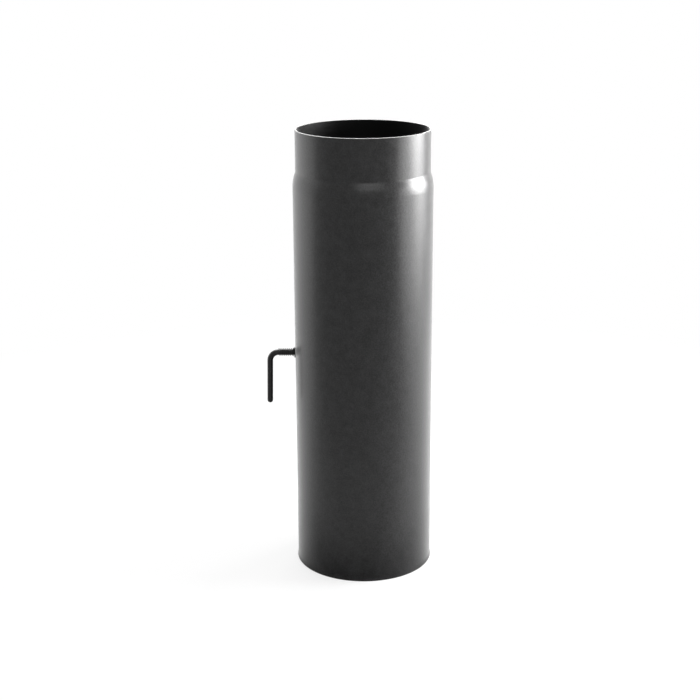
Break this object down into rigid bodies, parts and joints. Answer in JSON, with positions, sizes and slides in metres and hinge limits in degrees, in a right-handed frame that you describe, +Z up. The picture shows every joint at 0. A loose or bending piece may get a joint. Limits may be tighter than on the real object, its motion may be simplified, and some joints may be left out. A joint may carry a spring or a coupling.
{
  "type": "stove pipe with damper",
  "caption": "Straight round stove flue pipe with a plug-in collar at the top, a socket at the foot and a throttle disc turned by a bent rod handle.",
  "frame": {"origin": "centre of the foot ring, on the pipe axis", "axes": "+Z up the pipe axis towards the plug-in collar, -X towards the handle, +Y towards the weld seam at the back"},
  "size_m": [0.1879, 0.156, 0.5],
  "materials": {
    "graphite_paint": "satin heat-resistant graphite paint",
    "black_rod": "satin black heat-resistant paint",
    "black_spring": "oil-blackened spring wire",
    "disc_steel": "dull rolled sheet",
    "bare_steel": "dull zinc-free steel"
  },
  "bodies": {
    "pipe": {"pipe_body": "graphite_paint"},
    "damper": {"handle_rod": "black_rod", "friction_spring": "black_spring", "outer_washer": "black_rod", "inner_washer": "bare_steel", "split_pin": "bare_steel", "damper_disc": "disc_steel", "rod_clip_left": "bare_steel", "rod_clip_right": "bare_steel", "clip_bolt_1": "bare_steel", "clip_bolt_2": "bare_steel", "clip_bolt_3": "bare_steel", "clip_bolt_4": "bare_steel", "clip_nut_1": "bare_steel", "clip_nut_2": "bare_steel", "clip_nut_3": "bare_steel", "clip_nut_4": "bare_steel"}
  },
  "joints": [
    {"name": "damper_turn", "type": "hinge", "parent": "pipe", "child": "damper", "pos_m": [0, 0, 0.248], "axis": [-1, 0, 0], "continuous": true}
  ]
}
